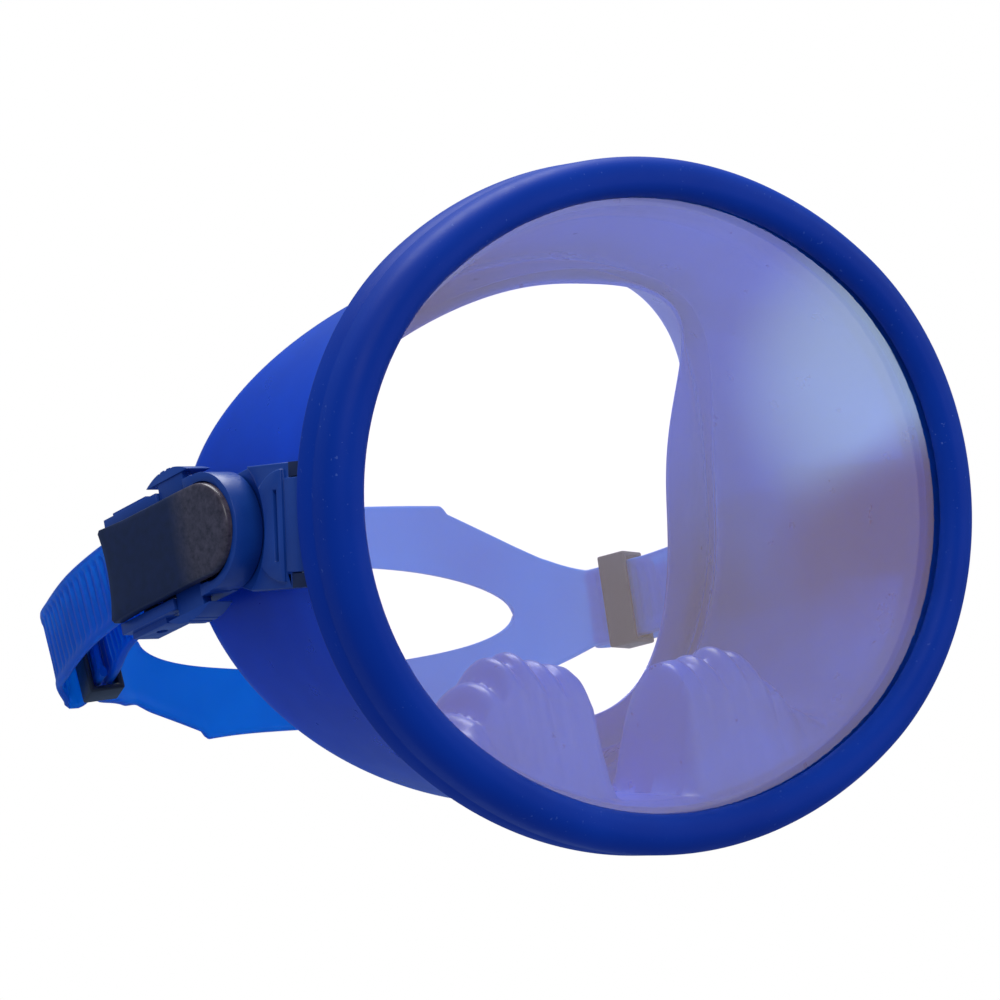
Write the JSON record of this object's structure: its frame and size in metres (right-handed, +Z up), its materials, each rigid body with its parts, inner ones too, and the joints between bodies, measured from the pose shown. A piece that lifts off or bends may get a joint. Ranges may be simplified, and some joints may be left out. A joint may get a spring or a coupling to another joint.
{
  "type": "diving mask",
  "caption": "Oval diving mask: tempered lens in a rubber-coated rim, silicone skirt with nose and finger wells, and a split strap in squeeze-release swivel buckles.",
  "frame": {"origin": "centre of the lens's outer face", "axes": "-Y looks out through the lens, +Y goes towards the wearer's head, +Z is up, +X is the viewer's right when facing the lens"},
  "size_m": [0.1724, 0.1275, 0.14],
  "materials": {
    "glass": "clear",
    "rim_rubber": "matte",
    "frame_plastic": "matte",
    "skirt_silicone": "satin",
    "strap_silicone": "satin",
    "buckle_plastic": "satin",
    "cover_plastic": "semi-gloss",
    "roller_plastic": "matte",
    "keeper_rubber": "matte",
    "steel": "brushed"
  },
  "bodies": {
    "mask": {"lens": "glass", "rim": "rim_rubber", "lens_frame": "frame_plastic", "skirt": "skirt_silicone", "left_bracket": "buckle_plastic", "left_bracket_pin": "steel", "left_swivel_rivet": "steel", "right_bracket": "buckle_plastic", "right_bracket_pin": "steel", "right_swivel_rivet": "steel"},
    "strap": {"strap": "strap_silicone", "left_buckle_body": "buckle_plastic", "left_buckle_cover": "cover_plastic", "left_button_spring": "steel", "left_pawl_pin": "steel", "left_roller_axle": "steel", "right_buckle_body": "buckle_plastic", "right_buckle_cover": "cover_plastic", "right_button_spring": "steel", "right_pawl_pin": "steel", "right_roller_axle": "steel"},
    "left_upper_button": {"left_upper_button": "buckle_plastic"},
    "left_lower_button": {"left_lower_button": "buckle_plastic"},
    "left_pawl": {"left_pawl": "frame_plastic"},
    "left_roller": {"left_roller": "roller_plastic"},
    "left_keeper": {"left_keeper": "keeper_rubber"},
    "right_upper_button": {"right_upper_button": "buckle_plastic"},
    "right_lower_button": {"right_lower_button": "buckle_plastic"},
    "right_pawl": {"right_pawl": "frame_plastic"},
    "right_roller": {"right_roller": "roller_plastic"},
    "right_keeper": {"right_keeper": "keeper_rubber"}
  },
  "joints": [
    {"name": "strap_swing", "type": "hinge", "parent": "mask", "child": "strap", "pos_m": [0, 0.0408, -0.0024], "axis": [1, 0, 0], "range_deg": [-25, 55]},
    {"name": "left_upper_press", "type": "slide", "parent": "strap", "child": "left_upper_button", "axis": [0, -0.225, -0.9744], "range_m": [0, 0.0015], "stiffness_N_per_m": 600, "springref_m": -0.001, "deforming": ["left_button_spring"]},
    {"name": "left_lower_press", "type": "slide", "parent": "strap", "child": "left_lower_button", "axis": [0, 0.225, 0.9744], "range_m": [0, 0.0015]},
    {"name": "left_pawl_turn", "type": "hinge", "parent": "strap", "child": "left_pawl", "pos_m": [-0.0793, 0.05814, -0.0064], "axis": [0, 0.225, 0.9744], "range_deg": [0, 8]},
    {"name": "left_roller_spin", "type": "hinge", "parent": "strap", "child": "left_roller", "pos_m": [-0.0783, 0.06662, -0.00836], "axis": [0, 0.225, 0.9744], "continuous": true},
    {"name": "left_keeper_slide", "type": "slide", "parent": "strap", "child": "left_keeper", "axis": [0.3007, 0.8962, -0.3262], "range_m": [-0.002, 0.002]},
    {"name": "right_upper_press", "type": "slide", "parent": "strap", "child": "right_upper_button", "axis": [0, -0.2079, -0.9781], "range_m": [0, 0.0015], "stiffness_N_per_m": 600, "springref_m": -0.001, "deforming": ["right_button_spring"]},
    {"name": "right_lower_press", "type": "slide", "parent": "strap", "child": "right_lower_button", "axis": [0, 0.2079, 0.9781], "range_m": [0, 0.0015]},
    {"name": "right_pawl_turn", "type": "hinge", "parent": "strap", "child": "right_pawl", "pos_m": [0.0793, 0.05821, -0.0061], "axis": [0, 0.2079, 0.9781], "range_deg": [-8, 0]},
    {"name": "right_roller_spin", "type": "hinge", "parent": "strap", "child": "right_roller", "pos_m": [0.0783, 0.06672, -0.00791], "axis": [0, 0.2079, 0.9781], "continuous": true},
    {"name": "right_keeper_slide", "type": "slide", "parent": "strap", "child": "right_keeper", "axis": [-0.3007, 0.9392, -0.1656], "range_m": [-0.002, 0.002]}
  ],
  "couplings": [
    {"joint": "left_lower_press", "follows": "left_upper_press", "ratio": 1},
    {"joint": "left_pawl_turn", "follows": "left_upper_press", "rad_per_m": 93.084},
    {"joint": "right_lower_press", "follows": "right_upper_press", "ratio": 1},
    {"joint": "right_pawl_turn", "follows": "right_upper_press", "rad_per_m": -93.084}
  ]
}
